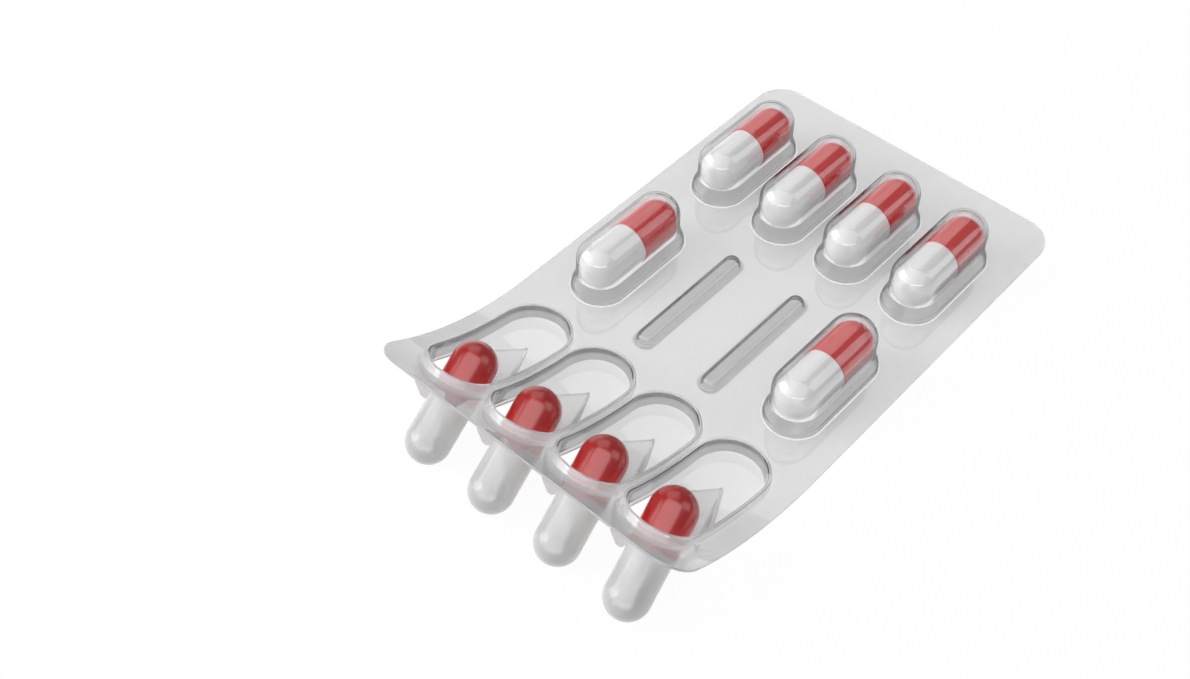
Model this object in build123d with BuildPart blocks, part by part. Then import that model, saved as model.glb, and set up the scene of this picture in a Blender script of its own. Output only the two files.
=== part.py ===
from build123d import *
from math import asin, atan2, cos, degrees, hypot, radians, sin
import os

# A clear blister pack of ten two-piece capsules. The film is modelled with its flat part on Plane.XY,
# z = 0 at its upper face, X across the columns and +Y towards the far end. The middle of the far row
# is at y = 0. The finished pieces are then laid down in the pose in which the pack comes to rest.

# Film and lidding
film_thickness = 0.3
lidding_thickness = 0.1
corner_radius = 5.6
side_margin = 3.55
far_margin = 22.9
near_margin = 19.2

# Layout of the pockets: four columns in three rows, with the gaps that lie between their outlines
column_count = 4
column_gap = 0.4
row_gap = 4.75

# Lifted near end: how far past the middle row the film starts to rise, and the radius of its bend
bend_gap = 2.4
bend_radius = 52.0

# How finely the round ends are cut into straight sides and bands
pocket_sides = 20
well_sides = 16
capsule_sides = 16
rib_sides = 12
dome_bands = 3
ball_bands = 3

# Capsule
capsule_length = 21.3
cap_diameter = 7.6
cap_length = 10.65
cap_wall = 0.13
body_overlap = 5.0
capsule_clearance = 0.02

# Closed pocket: a dome that fits round the capsule, a waist and a wider foot
pocket_skin = 0.25
side_clearance = 0.07
end_clearance = 0.12
capsule_lift = 0.7
head_room = 1.05
crown_half_width = 0.67
waist_flare = 0.04
waist_height = 3.1
foot_flare = 0.84
foot_height = 1.0
foot_draft = 0.08

# Stiffening rib, longer than the pockets beside it
rib_extra = 8.3
rib_half_width = 1.5
rib_height = 1.6
rib_shoulder_half_width = 1.35
rib_shoulder_height = 0.9
rib_crown_half_width = 0.6

# Opened pocket: a low collar round a sunk floor, both following the bent film
well_extra = 2.8
well_clearance = 1.85
well_depth = 1.35
collar_width = 0.9
collar_height = 1.3

# Burst floor of an opened pocket, measured from the centre of the well's near round end
burst_tip_x = 0.8
burst_tip_y = 14.7
burst_side_y = 5.1
flap_angle = 68.0
flap_drop = 4.5
flap_tip_drop = 1.5
flap_taper = 2.0

# Torn tongue of the lidding, curled down beside each burst, measured from the same centre
tongue_y = -1.6
tongue_width = 4.0
tongue_radius = 10.0
tongue_sweep = 37.0
tongue_thickness = 0.15
tongue_root = 0.1

# Capsule that sticks out of an opened pocket: the middle of its white end, from the same centre with
# z off the film, and its turns from the well's length and from the film
ejected_x = 2.6
ejected_y = -7.8
ejected_z = -8.2
ejected_yaw = 13.9
ejected_pitch = 39.3

# What follows from the sizes
cap_radius = cap_diameter / 2
body_radius = cap_radius - cap_wall - capsule_clearance
body_length = capsule_length - cap_length
lodged_height = cap_radius + capsule_lift
dome_half_width = cap_radius + side_clearance + pocket_skin
dome_round = dome_half_width - crown_half_width
waist_half_width = dome_half_width + waist_flare
foot_half_width = waist_half_width + foot_flare
pocket_height = lodged_height + cap_radius + head_room + pocket_skin
pocket_run = capsule_length + 2 * end_clearance - 2 * (dome_half_width - pocket_skin)
rib_run = pocket_run + rib_extra
well_half_width = cap_radius + well_clearance
well_run = pocket_run + well_extra
well_reach = well_run / 2
collar_half_width = well_half_width + collar_width
column_pitch = 2 * collar_half_width + column_gap
row_pitch = pocket_run / 2 + foot_half_width + row_gap + well_run / 2 + collar_half_width
pack_width = (column_count - 1) * column_pitch + 2 * (collar_half_width + side_margin)
bend_start = row_pitch + pocket_run / 2 + foot_half_width + bend_gap
near_row = -2 * row_pitch
near_edge = near_row - near_margin
far_edge = far_margin
sheet_bottom = -film_thickness - lidding_thickness
floor_bottom = -well_depth - film_thickness
hole_half_width = (well_half_width + film_thickness + collar_half_width) / 2
columns = [(i - (column_count - 1) / 2) * column_pitch for i in range(column_count)]
pocket_spots = [(x, 0) for x in columns] + [(x, -row_pitch) for x in (columns[0], columns[-1])]
rib_spots = [(x, -row_pitch) for x in columns[1:-1]]
well_spots = [(x, 0) for x in columns]


# Bent film
def along(distance, height=0.0):
    """Side view (y, z) of the point that is distance along the film and height above its upper face."""
    bent = -bend_start - distance
    if bent <= 0:
        return (distance, height)
    angle = bent / bend_radius
    reach = bend_radius - height
    return (-bend_start - reach * sin(angle), bend_radius - reach * cos(angle))


def film_plane(distance):
    """Plane that lies on the film at a distance along it, with its normal up."""
    angle = max(-bend_start - distance, 0) / bend_radius
    return Plane(origin=(0, *along(distance)), x_dir=(1, 0, 0), z_dir=(0, sin(angle), cos(angle)))


def bent_layer(low, high):
    """Layer of the whole pack between two heights, with rounded corners."""
    middle = (near_edge - bend_start) / 2
    inset = pack_width / 2 - corner_radius
    with BuildPart() as layer:
        with BuildSketch(Plane.YZ):
            with BuildLine():
                Polyline(along(-bend_start, low), along(far_edge, low), along(far_edge, high))
                Line(along(far_edge, high), along(-bend_start, high))
                ThreePointArc(along(-bend_start, high), along(middle, high), along(near_edge, high))
                Line(along(near_edge, high), along(near_edge, low))
                ThreePointArc(along(near_edge, low), along(middle, low), along(-bend_start, low))
            make_face()
        extrude(amount=pack_width / 2, both=True)
        for end, inwards in ((far_edge, -corner_radius), (near_edge, corner_radius)):
            with BuildSketch(film_plane(end)):
                with Locations((pack_width / 2, 0), (-pack_width / 2, 0)):
                    Rectangle(2 * corner_radius, 2 * corner_radius)
                with Locations((inset, inwards), (-inset, inwards)):
                    Circle(corner_radius, mode=Mode.SUBTRACT)
            extrude(amount=corner_radius, both=True, mode=Mode.SUBTRACT)
    return layer.part


# Forms with round ends
def slot_outline(half_width, run, sides):
    """Corners of a slot along Y, or of a circle when the run is nil."""
    turns = [radians(360 * i / sides) for i in range(sides // 2 + (1 if run else 0))]
    far = [(half_width * cos(turn), run / 2 + half_width * sin(turn)) for turn in turns]
    return far + [(-x, -y) for x, y in far]


def banded_form(run, rings, sides):
    """Upright solid through slot outlines that are given as (half width, height)."""
    with BuildPart() as form:
        for (low_width, low), (high_width, high) in zip(rings, rings[1:]):
            lean = atan2((low_width - high_width) * cos(radians(180 / sides)), high - low)
            with BuildSketch(Plane.XY.offset(low)):
                Polygon(*slot_outline(low_width, run, sides))
            extrude(amount=high - low, taper=degrees(lean))
    return form.part


def shoulder_rings(half_width, height, radius):
    """Rings of a rounded shoulder whose top is at this height."""
    turns = [radians(90 * i / dome_bands) for i in range(dome_bands + 1)]
    inset = half_width - radius
    return [(inset + radius * cos(turn), height - radius + radius * sin(turn)) for turn in turns]


def ball_rings(radius, length):
    """Rings of a half ball whose pole, a small flat, is at this length."""
    turns = [radians(90 * i / (ball_bands + 0.5)) for i in range(ball_bands + 1)]
    rise = radius / sin(turns[-1])
    return [(radius * cos(turn), length - radius + rise * sin(turn)) for turn in turns]


# Closed pocket and rib: a form for the outside, and one moved inwards by the skin for the space inside
def pocket_form(skin, bottom):
    """Closed pocket, moved inwards by a skin."""
    knee = (foot_half_width - foot_draft - skin, foot_height - skin / 2)
    waist = (waist_half_width - skin, waist_height - skin / 2)
    dome = shoulder_rings(dome_half_width - skin, pocket_height - skin, dome_round - skin)
    return banded_form(pocket_run, [(foot_half_width - skin, bottom), knee, waist] + dome, pocket_sides)


def rib_form(skin, bottom):
    """Stiffening rib, moved inwards by a skin."""
    shoulder = (rib_shoulder_half_width - skin, rib_shoulder_height - skin / 2)
    crown = (rib_crown_half_width, rib_height - skin)
    return banded_form(rib_run, [(rib_half_width - skin, bottom), shoulder, crown], rib_sides)


# Opened pocket
def well_layer(half_width, low, high):
    """Piece of a layer that follows the bent film, cut to the outline of a well."""
    with BuildPart() as piece:
        with BuildSketch(film_plane(near_row).offset(-well_reach)):
            Polygon(*slot_outline(half_width, well_run, well_sides))
        extrude(amount=2 * well_reach)
        add(bent_layer(low, high), mode=Mode.INTERSECT)
    return piece.part


def burst_opening():
    """The torn-out part of a well's floor: a point towards the far end, then the full width."""
    tip_y = burst_tip_y - well_run / 2
    side_y = burst_side_y - well_run / 2
    with BuildPart() as opening:
        with BuildSketch(film_plane(near_row).offset(-well_reach)):
            Polygon(*slot_outline(well_half_width, well_run, well_sides))
            with BuildLine():
                Polyline(
                    (burst_tip_x, tip_y),
                    (well_half_width, side_y),
                    (well_half_width, -well_run),
                    (-well_half_width, -well_run),
                    (-well_half_width, side_y),
                    close=True,
                )
            make_face(mode=Mode.INTERSECT)
        extrude(amount=2 * well_reach)
    return opening.part


def burst_flap():
    """Part of the floor that is folded down along one side of the burst."""
    height = floor_bottom + film_thickness / 2
    near_end = near_row - well_run / 2
    tip = Vector(burst_tip_x, *along(near_end + burst_tip_y, height))
    side = Vector(well_half_width, *along(near_end + burst_side_y, height))
    fold = side - tip
    floor_side = Vector(0, 0, 1).cross(fold).normalized()
    upwards = fold.cross(floor_side).normalized()
    facing = upwards * cos(radians(flap_angle)) - floor_side * sin(radians(flap_angle))
    root = film_thickness / 2
    with BuildPart() as flap:
        with BuildSketch(Plane(origin=tip, x_dir=fold, z_dir=facing)):
            with BuildLine():
                Polyline((0, root), (fold.length, root), (fold.length, -flap_drop))
                Polyline((fold.length, -flap_drop), (flap_taper, -flap_tip_drop), (0, root))
            make_face()
        extrude(amount=film_thickness / 2, both=True)
    return flap.part


def lidding_tongue():
    """Torn strip of the lidding that curls down beside a burst."""
    torn = film_plane(near_row - well_run / 2 + tongue_y)
    root_x = -hole_half_width - tongue_root
    root_z = -film_thickness - lidding_thickness / 2
    with BuildPart() as tongue:
        with BuildSketch(Plane(origin=torn.origin, x_dir=(1, 0, 0), z_dir=-torn.y_dir)):
            with BuildLine():
                CenterArc((root_x + tongue_radius, root_z), tongue_radius, 180, tongue_sweep)
            trace(line_width=tongue_thickness)
        extrude(amount=tongue_width / 2, both=True)
    return tongue.part


with BuildPart() as blister_film:
    add(bent_layer(-film_thickness, 0))
    with Locations(*pocket_spots):
        add(pocket_form(0, -film_thickness / 2))
        add(pocket_form(pocket_skin, -2 * film_thickness), mode=Mode.SUBTRACT)
    with Locations(*rib_spots):
        add(rib_form(0, -film_thickness / 2))
        add(rib_form(pocket_skin, -2 * film_thickness), mode=Mode.SUBTRACT)
    with Locations(*well_spots):
        add(well_layer(collar_half_width, -film_thickness, collar_height))
        add(well_layer(well_half_width + film_thickness, floor_bottom, -film_thickness / 2))
        add(well_layer(well_half_width, -well_depth, 2 * collar_height), mode=Mode.SUBTRACT)
        add(burst_opening(), mode=Mode.SUBTRACT)
        add(burst_flap())

with BuildPart() as lidding_film:
    add(bent_layer(sheet_bottom, -film_thickness))
    with Locations(*well_spots):
        add(well_layer(hole_half_width, 2 * sheet_bottom, 0), mode=Mode.SUBTRACT)
        add(lidding_tongue())


# Capsule: the cap points up and the body, whose rim is inside the cap, points down
with BuildPart() as capsule_cap:
    add(banded_form(0, [(cap_radius, 0)] + ball_rings(cap_radius, cap_length), capsule_sides))
    with BuildSketch():
        Polygon(*slot_outline(body_radius + capsule_clearance, 0, capsule_sides))
    extrude(amount=body_overlap + capsule_clearance, mode=Mode.SUBTRACT)

with BuildPart() as capsule_body:
    body_rings = [(body_radius, -body_overlap)] + ball_rings(body_radius, body_length)
    add(banded_form(0, body_rings, capsule_sides), rotation=(180, 0, 0))


# Where the capsules are, as planes at the cap's rim with their normal towards the cap
def lodged_plane(x, y):
    """Plane of a capsule that lies in a closed pocket."""
    return Plane(origin=(x, y, lodged_height), x_dir=(1, 0, 0), z_dir=(0, 1, 0))


def ejected_plane(x):
    """Plane of a capsule that has been pushed out of an opened pocket."""
    film = film_plane(near_row)
    level = cos(radians(ejected_pitch))
    yaw = radians(ejected_yaw)
    turn = Vector(-sin(yaw) * level, cos(yaw) * level, sin(radians(ejected_pitch)))
    towards_cap = film.x_dir * turn.X + film.y_dir * turn.Y + film.z_dir * turn.Z
    white_end = film.from_local_coords(Vector(x + ejected_x, ejected_y - well_run / 2, ejected_z))
    return Plane(origin=white_end + towards_cap * (body_length - body_radius), z_dir=towards_cap)


def ejected_end(x):
    """Middle of the white end of a capsule that has been pushed out."""
    spot = ejected_plane(x)
    return spot.origin - spot.z_dir * (body_length - body_radius)


capsule_planes = [lodged_plane(x, y) for x, y in pocket_spots] + [ejected_plane(x) for x in columns]

# Rest pose: the pack leans on the far edge of its lidding and on the white ends of the ejected capsules
white_end = ejected_end(columns[0])
lean_y = far_edge - white_end.Y
lean_z = white_end.Z - sheet_bottom
rest_tilt = asin(body_radius / hypot(lean_y, lean_z)) - atan2(lean_z, lean_y)
rest_z = far_edge * sin(rest_tilt) - sheet_bottom * cos(rest_tilt)
rest_y = (body_radius - (far_edge + white_end.Y) * cos(rest_tilt) - white_end.Z * sin(rest_tilt)) / 2
rest_pose = Location((0, rest_y, rest_z), (-degrees(rest_tilt), 0, 0))


def save_at_rest(form, name, spot=Plane.XY):
    """Write one piece in the pose in which the pack comes to rest."""
    with BuildPart() as piece:
        with Locations(rest_pose):
            with Locations(spot):
                add(form)
    piece.part.label = name
    export_step(piece.part, f"parts/{name}.step")


os.makedirs("parts", exist_ok=True)
save_at_rest(blister_film.part, "blister_film")
save_at_rest(lidding_film.part, "lidding_film")
for number, spot in enumerate(capsule_planes, 1):
    save_at_rest(capsule_cap.part, f"capsule_cap_{number}", spot)
    save_at_rest(capsule_body.part, f"capsule_body_{number}", spot)
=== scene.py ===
from math import asin, atan2, cos, hypot, pi, radians, sin, tan

import bmesh
import bpy
from mathutils import Matrix, Vector
from mathutils.geometry import delaunay_2d_cdt


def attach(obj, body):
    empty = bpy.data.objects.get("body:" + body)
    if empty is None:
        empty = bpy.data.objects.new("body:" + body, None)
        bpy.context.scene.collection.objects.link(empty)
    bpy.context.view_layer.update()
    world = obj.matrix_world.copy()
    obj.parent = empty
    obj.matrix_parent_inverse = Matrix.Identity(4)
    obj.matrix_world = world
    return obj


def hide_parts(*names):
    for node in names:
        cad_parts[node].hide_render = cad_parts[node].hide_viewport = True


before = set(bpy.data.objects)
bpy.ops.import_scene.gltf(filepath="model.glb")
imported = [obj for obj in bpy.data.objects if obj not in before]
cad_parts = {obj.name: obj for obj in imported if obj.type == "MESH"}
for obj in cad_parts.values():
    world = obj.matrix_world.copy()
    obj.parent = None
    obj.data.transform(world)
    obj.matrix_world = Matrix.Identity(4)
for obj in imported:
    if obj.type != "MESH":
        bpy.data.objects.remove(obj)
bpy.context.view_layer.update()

MM = 0.001

# Sizes of the pack in millimetres, as in the CAD model. The film is described flat: x across the
# columns, s along the film with the far row at 0, h above the upper face.
PITCH = 13.5
ROW = 31.5
WIDTH = 60.7
CORNER = 5.6
FAR_EDGE = 22.9
NEAR_EDGE = -82.2
FILM = 0.3
LIDDING = 0.1
BEND_START = 45.8
BEND_RADIUS = 52.0
POCKET_RUN = 13.8
RIB_RUN = 22.1
WELL_RUN = 16.6
WELL_S = -2 * ROW
COLUMNS = [(i - 1.5) * PITCH for i in range(4)]
POCKETS = [(x, 0.0) for x in COLUMNS] + [(x, -ROW) for x in (COLUMNS[0], COLUMNS[3])]
RIBS = [(x, -ROW) for x in COLUMNS[1:3]]
WELLS = [(x, WELL_S) for x in COLUMNS]

# Walls as they are shown, a hair thinner than the sheets, and where the lidding's upper face is
FILM_WALL = 0.28
LIDDING_WALL = 0.06
LIDDING_H = -FILM - 0.02

# Capsules. The white end of an ejected one is measured from the near end of its well.
CAP_RADIUS = 3.8
BODY_RADIUS = 3.65
CAP_LENGTH = 10.65
BODY_LENGTH = 10.65
BODY_TUCK = 0.6
CAP_RIM = 0.12
BODY_RIM = 0.05
LODGED_HEIGHT = 4.5
WHITE_END = (2.6, -7.8, -8.2)
YAW = radians(13.9)
DIP = radians(39.3)

# Tear in a well's floor, from the middle of the well: its tip, and where its sides meet the wall
TIP = (0.8, 14.7 - WELL_RUN / 2)
SIDE_Y = 5.1 - WELL_RUN / 2
WALL_X = 5.65

# Flap that is folded down along the right side of the tear
FLAP_END = (5.5, SIDE_Y + 0.3)
FLAP_DROP = (1.2, 4.4)
FLAP_TURN = (20, 75)
FLAP_SIDEWAYS = (0.88, 0.47)

# Piece of the floor that the capsule has pressed down: its rows, its sides, the slit that gives way to
# the capsule, and how it hangs
PRESSED_ROWS = 25
PRESSED_STEP = 0.6
PRESSED_START = 0.15
PRESSED_SIDES = (-5.1, 5.15)
PRESSED_GAP = 0.4
SLIT_Y = -0.8
SLIT_SLOPE = 12
SLIT_SIDE = 2.0
CAPSULE_GAP = 0.1
CAPSULE_DEPTH = 0.9
SLIT_LIMIT = 4.75
HANG_ACROSS = 0.83
HANG_ALONG = 0.56
HANG_SLOPE = 0.14
HANG_REACH = 6
SHEET_GAP = 0.05

# Holes in the lidding, and the torn tongue that curls down beside each
HOLE_HALF = 6.25
TONGUE_ROOT = -6.35
TONGUE_FAR = -7.4
TONGUE_WIDTH = 4.6
TONGUE_RADIUS = 8
TONGUE_SWEEP = 54


# Places
def along(s, h=0.0):
    """Side view (y, z) of a point of the film."""
    bent = -BEND_START - s
    if bent <= 0:
        return s, h
    angle = bent / BEND_RADIUS
    reach = BEND_RADIUS - h
    return -BEND_START - reach * sin(angle), BEND_RADIUS - reach * cos(angle)


def off_well(x, y, z, spot=True):
    """Point, or direction, given in the frame of the film at the wells' middle."""
    lift = (-BEND_START - WELL_S) / BEND_RADIUS
    middle = along(WELL_S) if spot else (0, 0)
    return (x, middle[0] + y * cos(lift) + z * sin(lift), middle[1] - y * sin(lift) + z * cos(lift))


# How the pack leans at rest, on its far edge and on the white ends
WHITE_Y, WHITE_Z = off_well(0, WHITE_END[1] - WELL_RUN / 2, WHITE_END[2])[1:]
LEAN_Y = FAR_EDGE - WHITE_Y
LEAN_Z = WHITE_Z + FILM + LIDDING
TILT = asin(BODY_RADIUS / hypot(LEAN_Y, LEAN_Z)) - atan2(LEAN_Z, LEAN_Y)
REST_Z = FAR_EDGE * sin(TILT) + (FILM + LIDDING) * cos(TILT)
REST_Y = (BODY_RADIUS - (FAR_EDGE + WHITE_Y) * cos(TILT) - WHITE_Z * sin(TILT)) / 2


def turned(x, y, z):
    """Direction in the flat model, turned as the pack leans at rest."""
    return Vector((x, y * cos(TILT) + z * sin(TILT), z * cos(TILT) - y * sin(TILT)))


def at_rest(x, y, z):
    """Point of the flat model, in metres, where it is once the pack rests."""
    return (turned(x, y, z) + Vector((0, REST_Y, REST_Z))) * MM


def on_film(x, s, h=0.0):
    """Point at this place and height on the bent film, in metres, once the pack rests."""
    return at_rest(x, *along(s, h))


# Outlines and sections
def slot_ring(half, run, ends=24, sides=12):
    """Points round a slot, counter-clockwise from the right end of its far arc."""
    far = [(half * cos(pi * i / ends), run / 2 + half * sin(pi * i / ends)) for i in range(ends + 1)]
    left = [(-half, run / 2 - run * i / sides) for i in range(1, sides)]
    half_way = far + left
    return half_way + [(-x, -y) for x, y in half_way]


def in_slot(x, y, half, run):
    """Whether a spot, measured from the slot's middle, lies in the slot."""
    return hypot(x, max(abs(y) - run / 2, 0)) < half


def rounded(points, radii, steps):
    """Section through the points with an arc of each radius at the inner points."""
    line = [points[0]]
    for before, corner, after, radius in zip(points, points[1:], points[2:], radii):
        a = (Vector(before) - Vector(corner)).normalized()
        b = (Vector(after) - Vector(corner)).normalized()
        half = a.angle(b) / 2
        centre = Vector(corner) + (a + b).normalized() * radius / sin(half)
        start = Vector(corner) + a * radius / tan(half) - centre
        sweep = start.angle(Vector(corner) + b * radius / tan(half) - centre)
        side = 1 if a.cross(b) < 0 else -1
        for i in range(steps + 1):
            turn = side * sweep * i / steps
            spoke = Matrix.Rotation(turn, 2) @ start
            line.append(tuple(centre + spoke))
    return line + [points[-1]]


def sheet_outline(arc_steps=10, edge_step=2.0):
    """Rounded outline of the pack with extra points where the film bends."""
    points = []
    for side, end, start in ((1, 1, 0), (-1, 1, 90), (-1, -1, 180), (1, -1, 270)):
        mid_x = side * (WIDTH / 2 - CORNER)
        mid_s = FAR_EDGE - CORNER if end > 0 else NEAR_EDGE + CORNER
        for i in range(arc_steps + 1):
            turn = radians(start + 90 * i / arc_steps)
            points.append((mid_x + CORNER * cos(turn), mid_s + CORNER * sin(turn)))
    split = []
    for (x0, s0), (x1, s1) in zip(points, points[1:] + points[:1]):
        count = max(1, round(hypot(x1 - x0, s1 - s0) / edge_step))
        split += [(x0 + (x1 - x0) * i / count, s0 + (s1 - s0) * i / count) for i in range(count)]
    return split


def in_sheet(x, s):
    """Whether a spot lies within the pack's rounded outline."""
    over_x = max(abs(x) - WIDTH / 2 + CORNER, 0)
    over_s = max(s - FAR_EDGE + CORNER, NEAR_EDGE + CORNER - s, 0)
    return hypot(over_x, over_s) < CORNER


# Meshes
def skin(bm, rings, closed=True, finish=lambda row, share: 0):
    """Quads between one row of points and the next, with a finish by row and share of the way round."""
    rows = [[bm.verts.new(p) for p in ring] for ring in rings]
    count = len(rows[0])
    for number, (low, high) in enumerate(zip(rows, rows[1:])):
        for i in range(count if closed else count - 1):
            j = (i + 1) % count
            quad = bm.faces.new((low[i], low[j], high[j], high[i]))
            quad.material_index = finish(number, i / count)


def grid(first, step, counts):
    """Evenly spaced spots, one column after the other."""
    columns = [first[0] + i * step[0] for i in range(counts[0])]
    rows = [first[1] + j * step[1] for j in range(counts[1])]
    return [(x, y) for x in columns for y in rows]


def fill(bm, points, edges, spots, gap, keep, place, finish=0):
    """Triangles between lines of points where keep(x, y) is true, with inner spots off the lines."""
    def clear_of_lines(x, y):
        return min(hypot(x - p[0], y - p[1]) for p in points) > gap

    inner = [spot for spot in spots if keep(*spot) and clear_of_lines(*spot)]
    flat = [Vector(p) for p in points + inner]
    verts, _, faces = delaunay_2d_cdt(flat, edges, [], 0, 1e-5)[:3]
    made = [bm.verts.new(place(v.x, v.y)) for v in verts]
    for face in faces:
        middle = sum((verts[i] for i in face), Vector((0, 0))) / len(face)
        if keep(middle.x, middle.y):
            bm.faces.new([made[i] for i in face]).material_index = finish


def fill_sheet(bm, holes, h):
    """Flat part of a sheet round its slot holes, each given as x, s, half width and run."""
    points = []
    edges = []
    rings = [[(x + px, s + py) for px, py in slot_ring(half, run)] for x, s, half, run in holes]
    for loop in [sheet_outline()] + rings:
        first = len(points)
        points += loop
        edges += [(first + i, first + (i + 1) % len(loop)) for i in range(len(loop))]

    def keep(px, ps):
        in_hole = any(in_slot(px - x, ps - s, half, run) for x, s, half, run in holes)
        return in_sheet(px, ps) and not in_hole

    step = 2.0
    corner = (0.37 - WIDTH / 2, 0.41 + NEAR_EDGE)
    counts = (int(WIDTH / step) + 1, int((FAR_EDGE - NEAR_EDGE) / step) + 1)
    spots = grid(corner, (step, step), counts)
    fill(bm, points, edges, spots, 0.45 * step, keep, lambda px, ps: on_film(px, ps, h))


def make_piece(name, bm, materials, node):
    """Object from a bmesh, riding on the pack and standing for a CAD node."""
    bmesh.ops.remove_doubles(bm, verts=bm.verts, dist=1e-7)
    mesh = bpy.data.meshes.new(name)
    bm.to_mesh(mesh)
    bm.free()
    for face in mesh.polygons:
        face.use_smooth = True
    piece = bpy.data.objects.new(name, mesh)
    bpy.context.scene.collection.objects.link(piece)
    for material in materials:
        piece.data.materials.append(material)
    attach(piece, "root")
    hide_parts(node)
    return piece


def thicken(piece, amount, rim, crease=50):
    """Gives a skin its wall, away from the side it faces, with crisp rims."""
    wall = piece.modifiers.new("wall", "SOLIDIFY")
    wall.thickness = amount * MM
    wall.offset = -1
    wall.use_even_offset = True
    wall.thickness_clamp = 0
    wall.material_offset_rim = rim
    shaped = piece.evaluated_get(bpy.context.evaluated_depsgraph_get())
    mesh = bpy.data.meshes.new_from_object(shaped)
    piece.modifiers.clear()
    piece.data = mesh
    mesh.set_sharp_from_angle(angle=radians(crease))


# Sections of the formed features: (half width, height above the film)
POCKET = rounded(
    [(5.75, 0), (5.0, 0), (4.92, 1.0), (4.16, 3.1), (4.12, 9.6), (0, 9.6)],
    [0.35, 0.55, 0.9, 3.45], 8,
)
RIB = rounded([(2.1, 0), (1.5, 0), (1.35, 1.6), (0, 1.6)], [0.3, 0.85], 6)
COLLAR = rounded(
    [(6.7, 0), (6.5, 0), (6.38, 1.3), (5.78, 1.3), (5.65, -1.35), (5.2, -1.35)],
    [0.12, 0.26, 0.26, 0.3], 4,
)
COLLAR_CREST = 6.0
# Steep pocket walls below this height get a dark tint: painted shade
WAIST_H = 3
# Share of the way round a well, on its far and left side, where the inner wall gets a darker tint: painted
# shade standing in for a dark reflection
SHADED_WALL_SHARE = (0.06, 0.56)
FLOOR_HALF, FLOOR_H = COLLAR[-1]

# Finishes of the film, in the order of its materials, and those of the lidding after its first
FLAT_FINISH, CROWN_FINISH, LOW_WALL_SHADE_FINISH, FAR_WALL_SHADE_FINISH, HAZY_FINISH, PRESSED_FINISH, FILM_RIM = range(7)
TORN_FINISH, LIDDING_RIM = 1, 2


def finish_of(section, row, share):
    """Finish of a band of a section: crowns are clear, and the flat foot and the rest of a collar are hazy;
    ribs and the steep walls low on a pocket get a dark tint as painted shade, and the inner wall of a well
    gets a darker tint on its far and left side, painted shade standing in for a dark reflection.
    """
    (half, height), (next_half, next_height) = section[row:row + 2]
    steep = abs(next_height - height) > abs(next_half - half)
    if section is COLLAR:
        inner_wall = steep and half < COLLAR_CREST
        in_wall_shade = SHADED_WALL_SHARE[0] < share < SHADED_WALL_SHARE[1]
        return FAR_WALL_SHADE_FINISH if inner_wall and in_wall_shade else HAZY_FINISH
    if section is RIB or (steep and height < WAIST_H):
        return LOW_WALL_SHADE_FINISH
    return CROWN_FINISH if height > 0 else FLAT_FINISH


# Opened wells
def tear_edge(x):
    """How far along the well the tear reaches at this place across."""
    side = WALL_X + TIP[0] if x < TIP[0] else WALL_X - TIP[0]
    slope = (TIP[1] - SIDE_Y) / side
    return TIP[1] - abs(x - TIP[0]) * slope


def tear_line(steps=10):
    """Points down both sides of the tear, from wall to tip to wall."""
    left = [-FLOOR_HALF + (TIP[0] + FLOOR_HALF) * i / steps for i in range(steps)]
    right = [TIP[0] + (FLOOR_HALF - TIP[0]) * i / steps for i in range(steps + 1)]
    return [(x, tear_edge(x)) for x in left + right]


def on_floor(x, y):
    """Whether a spot of a well's floor is still there."""
    return in_slot(x, y, FLOOR_HALF, WELL_RUN) and y >= tear_edge(x)


def well_floor(bm, x):
    """Floor of the well in this column, with its edge along the tear."""
    ring = slot_ring(FLOOR_HALF, WELL_RUN)
    tear = tear_line()
    count = len(ring)
    edges = [(i, (i + 1) % count) for i in range(count)]
    edges += [(count + i, count + i + 1) for i in range(len(tear) - 1)]
    spots = grid(first=(-5, -13), step=(1.43, 2.0), counts=(8, 14))

    def place(px, py):
        return on_film(x + px, WELL_S + py, FLOOR_H)

    fill(bm, ring + tear, edges, spots, 0.6, on_floor, place, HAZY_FINISH)


def folded_flap(x, rows=9, columns=6):
    """Rows of the flap that is folded down along the right side of the tear."""
    flap = []
    for i in range(rows):
        down_side = i / (rows - 1)
        hinge_x = TIP[0] + (FLAP_END[0] - TIP[0]) * down_side
        hinge_y = TIP[1] + (FLAP_END[1] - TIP[1]) * down_side
        drop = FLAP_DROP[0] + (FLAP_DROP[1] - FLAP_DROP[0]) * down_side
        row = []
        for j in range(columns):
            out = j / (columns - 1)
            turn = radians(FLAP_TURN[0] + (FLAP_TURN[1] - FLAP_TURN[0]) * out)
            sideways = drop * out * cos(turn)
            px = hinge_x - sideways * FLAP_SIDEWAYS[0]
            py = hinge_y - sideways * FLAP_SIDEWAYS[1]
            row.append(on_film(x + px, WELL_S + py, FLOOR_H - drop * out * sin(turn)))
        flap.append(row)
    return flap


def beside_capsule(y, h):
    """How far right an ejected capsule reaches at a spot, or None where it isn't there."""
    axis = Vector((-sin(YAW) * cos(DIP), cos(YAW) * cos(DIP), sin(DIP)))
    spot = Vector((0, y + WELL_RUN / 2, h)) - Vector(WHITE_END)
    steep = 1 - axis.x ** 2
    lean = spot.x - axis.x * spot.dot(axis)
    rest = spot.length_squared - spot.dot(axis) ** 2 - CAP_RADIUS ** 2
    inside = lean ** 2 - steep * rest
    return (-lean + inside ** 0.5) / steep if inside > 0 else None


def pressed_sides(y):
    """Left and right side of the pressed piece at this place along the well."""
    down_tear = (TIP[1] - y) / (TIP[1] - SIDE_Y)
    left = max(TIP[0] - down_tear * (WALL_X + TIP[0]), PRESSED_SIDES[0])
    right = min(TIP[0] + down_tear * (WALL_X - TIP[0]) - PRESSED_GAP, PRESSED_SIDES[1])
    if y < SLIT_Y:
        side = beside_capsule(y, FLOOR_H - CAPSULE_DEPTH)
        limit = SLIT_SIDE if side is None else min(side + CAPSULE_GAP, SLIT_LIMIT)
        left = min(left + SLIT_SLOPE * (SLIT_Y - y), limit)
    return left, right


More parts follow.
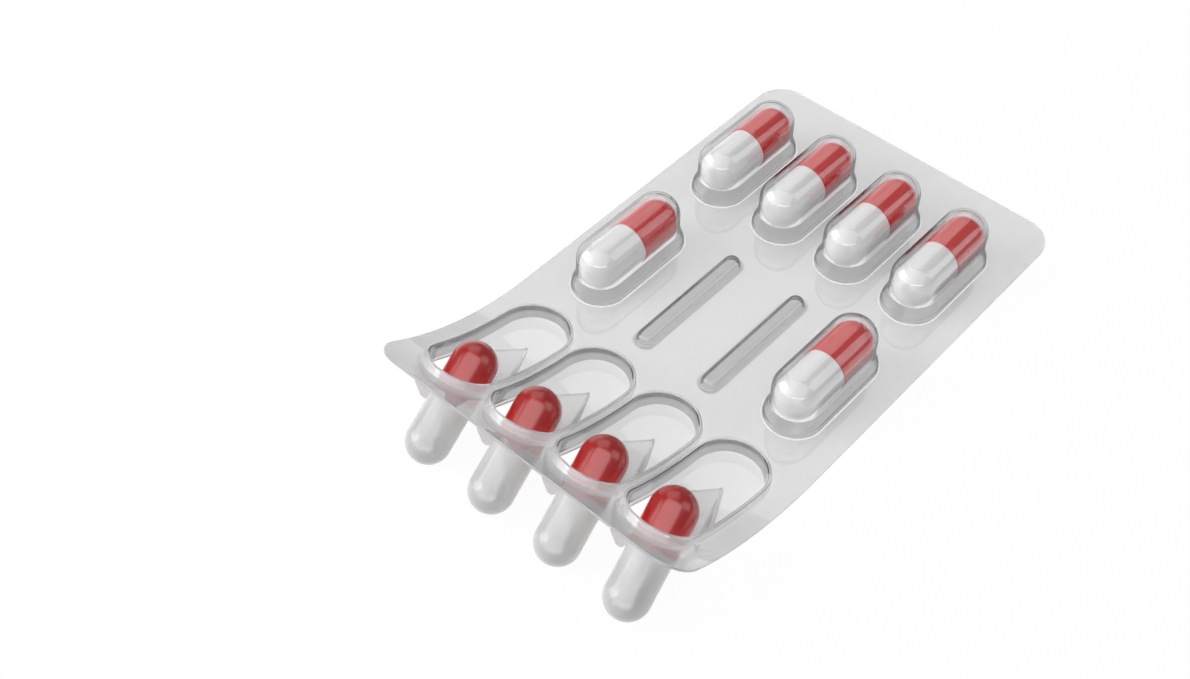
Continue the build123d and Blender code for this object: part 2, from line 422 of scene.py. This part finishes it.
def pressed_floor(x, columns=7):
    """Rows of the piece of floor that the capsule has pressed down, hinged at the far tear."""
    rows = []
    for i in range(PRESSED_ROWS):
        y = TIP[1] - PRESSED_START - PRESSED_STEP * i
        left, right = pressed_sides(y)
        row = []
        for j in range(columns):
            px = left + (right - left) * j / (columns - 1)
            reach = (px - TIP[0]) * HANG_ACROSS + (TIP[1] - y) * HANG_ALONG
            hang = HANG_SLOPE * min(max(reach, 0), HANG_REACH)
            row.append(on_film(x + px, WELL_S + y, FLOOR_H - SHEET_GAP - hang))
        rows.append(row)
    return rows


# Sheets
def film_mesh():
    """Upper face of the film with all that is formed in it."""
    bm = bmesh.new()
    formed = [(POCKETS, POCKET, POCKET_RUN), (RIBS, RIB, RIB_RUN), (WELLS, COLLAR, WELL_RUN)]
    holes = []
    for spots, section, run in formed:
        holes += [(x, s, section[0][0], run) for x, s in spots]
    fill_sheet(bm, holes, 0.0)
    for spots, section, run in formed:
        for x, s in spots:
            rings = []
            for half, h in section:
                rings.append([on_film(x + px, s + py, h) for px, py in slot_ring(half, run)])
            skin(bm, rings, finish=lambda row, share: finish_of(section, row, share))
    for x in COLUMNS:
        well_floor(bm, x)
        for rows in (folded_flap(x), pressed_floor(x)):
            skin(bm, rows, closed=False, finish=lambda row, share: PRESSED_FINISH)
    return bm


def torn_tongue(x, rows=9, columns=9):
    """Rows of the tongue of lidding that curls down beside a hole, rounded towards its end."""
    tongue = []
    for i in range(rows):
        across = (i + 0.5) / rows
        s = WELL_S + TONGUE_FAR - TONGUE_WIDTH * across
        sweep = TONGUE_SWEEP * (1 - abs(2 * across - 1) ** 4) ** 0.5
        row = []
        for j in range(columns):
            turn = radians(sweep * j / (columns - 1))
            inwards = TONGUE_RADIUS - TONGUE_RADIUS * cos(turn)
            down = SHEET_GAP + TONGUE_RADIUS * sin(turn)
            row.append(on_film(x + TONGUE_ROOT + inwards, s, -FILM - down))
        tongue.append(row)
    return tongue


def lidding_mesh():
    """Upper face of the lidding with its holes and torn tongues."""
    bm = bmesh.new()
    fill_sheet(bm, [(x, s, HOLE_HALF, WELL_RUN) for x, s in WELLS], LIDDING_H)
    for x in COLUMNS:
        skin(bm, torn_tongue(x), closed=False, finish=lambda row, share: TORN_FINISH)
    return bm


# Capsules
def shell_section(radius, start, length, rim, arc_steps=16, side_steps=8):
    """Section (radius, distance) of a capsule half from its open end to its pole."""
    chamfer = rim * 0.3
    section = [(0, start), (radius - rim, start), (radius - chamfer, start + chamfer), (radius, start + rim)]
    for i in range(1, side_steps):
        section.append((radius, start + (length - radius - start) * i / side_steps))
    for i in range(arc_steps + 1):
        turn = pi / 2 * i / arc_steps
        section.append((radius * cos(turn), length - radius + radius * sin(turn)))
    return section


def spin(bm, section, origin, axis, sides=48):
    """Form of revolution about an axis, in metres where the pack rests."""
    side = axis.orthogonal().normalized()
    other = axis.cross(side)
    rings = []
    for radius, distance in section:
        ring = []
        for i in range(sides):
            turn = 2 * pi * i / sides
            spoke = side * cos(turn) + other * sin(turn)
            ring.append(at_rest(*(origin + axis * distance + spoke * radius)))
        rings.append(ring)
    skin(bm, rings)
    bmesh.ops.recalc_face_normals(bm, faces=bm.faces)


def capsule_places():
    """Middle of each capsule's rim and the direction of its cap, in the flat model."""
    places = [(Vector((x, s, LODGED_HEIGHT)), Vector((0, 1, 0))) for x, s in POCKETS]
    towards_cap = Vector(off_well(-sin(YAW) * cos(DIP), cos(YAW) * cos(DIP), sin(DIP), spot=False))
    for x in COLUMNS:
        white_end = Vector((x + WHITE_END[0], WHITE_Y, WHITE_Z))
        places.append((white_end + towards_cap * (BODY_LENGTH - BODY_RADIUS), towards_cap))
    return places


# Materials
PLASTIC_IOR = 1.5
EDGE_FROM = 0.54
EDGE_TO = 0.77
BLUE_LIFT = 1.006
LET_THROUGH = 0.93
FILM_GRAIN = 90
FILM_SPREAD = 0.01
SHELL_GRAIN = 120
SHELL_ROUGHNESS = (0.2, 0.26)


def new_material(name):
    """Material with its nodes, its links and its shader."""
    material = bpy.data.materials.new(name)
    material.use_nodes = True
    tree = material.node_tree
    return material, tree.nodes, tree.links, tree.nodes["Principled BSDF"]


def uneven(nodes, links, shader, scale, low, high):
    """Roughness that varies a little over the surface."""
    place = nodes.new("ShaderNodeTexCoord")
    noise = nodes.new("ShaderNodeTexNoise")
    noise.inputs["Scale"].default_value = scale
    spread = nodes.new("ShaderNodeMapRange")
    spread.inputs["To Min"].default_value = low
    spread.inputs["To Max"].default_value = high
    links.new(place.outputs["Object"], noise.inputs["Vector"])
    links.new(noise.outputs["Fac"], spread.inputs["Value"])
    links.new(spread.outputs["Result"], shader.inputs["Roughness"])


def darker_edges(nodes, links, shader, tint, edge_tint):
    """Colour that changes from one tint to another where the surface is seen edge on: partly the real
    darkening of a longer path through the film, partly painted shade standing in for the dark outlines that
    refraction gives glass edges.
    """
    edge = nodes.new("ShaderNodeLayerWeight")
    edge.inputs["Blend"].default_value = 0.5
    ramp = nodes.new("ShaderNodeValToRGB")
    middle, rim = ramp.color_ramp.elements
    middle.position = EDGE_FROM
    middle.color = (tint, tint, tint * BLUE_LIFT, 1)
    rim.position = EDGE_TO
    rim.color = (edge_tint, edge_tint, edge_tint, 1)
    links.new(edge.outputs["Facing"], ramp.inputs["Fac"])
    links.new(ramp.outputs["Color"], shader.inputs["Base Color"])


def clear(name, tint, edge_tint, haze=0.0, roughness=0.0):
    """Clear plastic with some haze, which lets lamps through and may darken where it is seen edge on."""
    material, nodes, links, shader = new_material(name)
    shader.inputs["Transmission Weight"].default_value = 1.0 - haze
    shader.inputs["IOR"].default_value = PLASTIC_IOR
    uneven(nodes, links, shader, FILM_GRAIN, roughness, roughness + FILM_SPREAD)
    darker_edges(nodes, links, shader, tint, edge_tint)
    path = nodes.new("ShaderNodeLightPath")
    open_to_lamps = nodes.new("ShaderNodeBsdfTransparent")
    open_to_lamps.inputs["Color"].default_value = (LET_THROUGH, LET_THROUGH, LET_THROUGH, 1)
    mix = nodes.new("ShaderNodeMixShader")
    links.new(path.outputs["Is Shadow Ray"], mix.inputs["Fac"])
    links.new(shader.outputs[0], mix.inputs[1])
    links.new(open_to_lamps.outputs[0], mix.inputs[2])
    links.new(mix.outputs[0], nodes["Material Output"].inputs["Surface"])
    return material


def shell(name, colour):
    """Glossy hard shell with a soft coat."""
    material, nodes, links, shader = new_material(name)
    shader.inputs["Base Color"].default_value = (*colour, 1)
    shader.inputs["IOR"].default_value = PLASTIC_IOR
    shader.inputs["Coat Weight"].default_value = 0.7
    shader.inputs["Coat Roughness"].default_value = 0.22
    uneven(nodes, links, shader, SHELL_GRAIN, *SHELL_ROUGHNESS)
    return material


# Pieces
def make_sheets():
    """Film and lidding, which have clear cut edges."""
    flat_film = clear("clear_film", 0.86, 0.4, haze=0.25)
    crown_film = clear("crown_film", 0.96, 0.0)
    # Dark tint for ribs and low pocket walls: painted shade
    low_wall_shade_film = clear("low_wall_shade_film", 0.52, 0.06, roughness=0.02)
    # Darker tint for the far side of a well's inner wall: painted shade standing in for a dark reflection
    far_wall_shade_film = clear("far_wall_shade_film", 0.42, 0.38, roughness=0.02)
    hazy_film = clear("hazy_film", 0.9, 0.9, haze=0.25)
    pressed_film = clear("pressed_film", 0.88, 0.85, haze=0.42)
    cut_edge = clear("cut_edge", 0.98, 0.95, haze=0.6, roughness=0.2)
    foil = clear("lidding", 0.96, 0.6, haze=0.05, roughness=0.1)
    torn_foil = clear("torn_foil", 0.74, 0.6, haze=0.08, roughness=0.05)
    film_finishes = [flat_film, crown_film, low_wall_shade_film, far_wall_shade_film, hazy_film, pressed_film, cut_edge]
    film = make_piece("film_skin", film_mesh(), film_finishes, "blister_film")
    thicken(film, FILM_WALL, FILM_RIM)
    lidding_finishes = [foil, torn_foil, cut_edge]
    lidding = make_piece("lidding_skin", lidding_mesh(), lidding_finishes, "lidding_film")
    thicken(lidding, LIDDING_WALL, LIDDING_RIM)


def make_capsules():
    """Red cap and white body of each capsule."""
    red_shell = shell("red_shell", (0.56, 0.001, 0.0005))
    white_shell = shell("white_shell", (0.78, 0.78, 0.775))
    cap_section = shell_section(CAP_RADIUS, 0.0, CAP_LENGTH, CAP_RIM)
    body_section = shell_section(BODY_RADIUS, -BODY_TUCK, BODY_LENGTH, BODY_RIM)
    for number, (rim, towards_cap) in enumerate(capsule_places(), 1):
        cap = bmesh.new()
        spin(cap, cap_section, rim, towards_cap)
        make_piece(f"cap_shell_{number}", cap, [red_shell], f"capsule_cap_{number}")
        body = bmesh.new()
        spin(body, body_section, rim, -towards_cap)
        make_piece(f"body_shell_{number}", body, [white_shell], f"capsule_body_{number}")


# Floor, light and camera
def math_node(nodes, links, operation, first, second, clamp=False):
    """Sum, product or comparison of an output with an output or a number."""
    node = nodes.new("ShaderNodeMath")
    node.operation = operation
    node.use_clamp = clamp
    links.new(first, node.inputs[0])
    if isinstance(second, float):
        node.inputs[1].default_value = second
    else:
        links.new(second, node.inputs[1])
    return node.outputs[0]


def seen_share(nodes, links, in_gloss):
    """1 for a ray that looks at the surroundings, straight or through glass, and this much in a gloss."""
    path = nodes.new("ShaderNodeLightPath")
    seen = math_node(nodes, links, "ADD", path.outputs["Is Camera Ray"], path.outputs["Is Glossy Ray"])
    seen = math_node(nodes, links, "ADD", seen, path.outputs["Is Transmission Ray"], clamp=True)
    looking = math_node(nodes, links, "LESS_THAN", path.outputs["Diffuse Depth"], 0.5)
    straight = math_node(nodes, links, "LESS_THAN", path.outputs["Glossy Depth"], 0.5)
    straight = math_node(nodes, links, "MAXIMUM", straight, in_gloss)
    seen = math_node(nodes, links, "MULTIPLY", seen, looking)
    return math_node(nodes, links, "MULTIPLY", seen, straight)


def floor_material(lit=0.65, glow=0.94, faint=0.1):
    """Grey that takes light and shadow, and a near white with a faint shadow where it is looked at."""
    material, nodes, links, shader = new_material("floor")
    shader.inputs["Base Color"].default_value = (lit, lit, lit, 1)
    shader.inputs["Roughness"].default_value = 0.9
    bright = nodes.new("ShaderNodeEmission")
    bright.inputs["Strength"].default_value = glow
    shaded = nodes.new("ShaderNodeBsdfDiffuse")
    shaded.inputs["Color"].default_value = (faint, faint, faint, 1)
    both = nodes.new("ShaderNodeAddShader")
    mix = nodes.new("ShaderNodeMixShader")
    links.new(seen_share(nodes, links, 1.0), mix.inputs["Fac"])
    links.new(bright.outputs[0], both.inputs[0])
    links.new(shaded.outputs[0], both.inputs[1])
    links.new(shader.outputs[0], mix.inputs[1])
    links.new(both.outputs[0], mix.inputs[2])
    links.new(mix.outputs[0], nodes["Material Output"].inputs["Surface"])
    return material


def make_floor(half=3.0, depth=0.00002):
    """Wide floor, a hair below what rests on it."""
    bm = bmesh.new()
    corners = ((-half, -half), (half, -half), (half, half), (-half, half))
    bm.faces.new([bm.verts.new((x, y, -depth)) for x, y in corners])
    mesh = bpy.data.meshes.new("floor")
    bm.to_mesh(mesh)
    bm.free()
    floor = bpy.data.objects.new("floor", mesh)
    bpy.context.scene.collection.objects.link(floor)
    floor.data.materials.append(floor_material())


def make_lamp(name, location, size, level):
    """Soft box that faces the pack and is as bright as this level, where 1 is white."""
    light = bpy.data.lights.new(name, "AREA")
    light.shape = "RECTANGLE"
    light.size, light.size_y = size
    light.energy = level * pi * size[0] * size[1]
    lamp = bpy.data.objects.new(name, light)
    bpy.context.scene.collection.objects.link(lamp)
    lamp.visible_camera = False
    lamp.location = location
    lamp.rotation_euler = (-Vector(location)).to_track_quat("-Z", "Y").to_euler()
    return lamp


def make_lights():
    """Soft boxes round the pack, and one large one that shows in glosses alone."""
    make_lamp("top", (-0.35, 0.39, 0.61), (0.62, 0.62), 0.9)
    make_lamp("behind_camera", (0.35, -0.39, 0.61), (1.4, 1.4), 0.08)
    make_lamp("low_strip", (0.46, -0.52, 0.2), (0.8, 0.07), 3.5)
    make_lamp("right", (0.47, 0.37, 0.43), (0.4, 0.5), 1.2)
    make_lamp("left", (-0.62, 0.37, 0.17), (0.5, 0.25), 0.4)
    make_lamp("front", (-0.55, -0.45, 0.35), (0.55, 0.55), 3.4)
    gloss = make_lamp("gloss", (0.16, -0.62, 0.67), (1.9, 2.6), 2.3)
    gloss.visible_diffuse = False
    gloss.visible_transmission = False


def make_world(room_light=0.14, in_gloss=0.22):
    """White where it is seen, and dim even light on the object."""
    world = bpy.data.worlds.new("studio")
    bpy.context.scene.world = world
    world.use_nodes = True
    nodes, links = world.node_tree.nodes, world.node_tree.links
    room = nodes["Background"]
    room.inputs["Color"].default_value = (1, 1, 1, 1)
    room.inputs["Strength"].default_value = room_light
    backdrop = nodes.new("ShaderNodeBackground")
    backdrop.inputs["Color"].default_value = (1, 1, 1, 1)
    mix = nodes.new("ShaderNodeMixShader")
    links.new(seen_share(nodes, links, in_gloss), mix.inputs["Fac"])
    links.new(room.outputs[0], mix.inputs[1])
    links.new(backdrop.outputs[0], mix.inputs[2])
    links.new(mix.outputs[0], nodes["World Output"].inputs["Surface"])


def make_camera():
    """Camera above the pack's near right side, placed and turned in the flat model."""
    data = bpy.data.cameras.new("camera")
    camera = bpy.data.objects.new("camera", data)
    bpy.context.scene.collection.objects.link(camera)
    bpy.context.scene.camera = camera
    data.sensor_width = 36.0
    data.lens = 46.133
    data.clip_start = 0.01
    data.clip_end = 20.0
    place = (94.29, -167.53, 187.60)
    azimuth, elevation, roll = radians(41.879), radians(49.476), radians(0.388)
    back = Vector((sin(azimuth) * cos(elevation), -cos(azimuth) * cos(elevation), sin(elevation)))
    level = Vector((0, 0, 1)).cross(back).normalized()
    up = back.cross(level)
    right = level * cos(roll) + up * sin(roll)
    top = up * cos(roll) - level * sin(roll)
    axes = Matrix([turned(*axis) for axis in (right, top, back)]).transposed().to_4x4()
    camera.matrix_world = Matrix.Translation(at_rest(*place)) @ axes


make_sheets()
make_capsules()
make_floor()
make_world()
make_lights()
make_camera()
bpy.context.scene.view_settings.view_transform = "Standard"
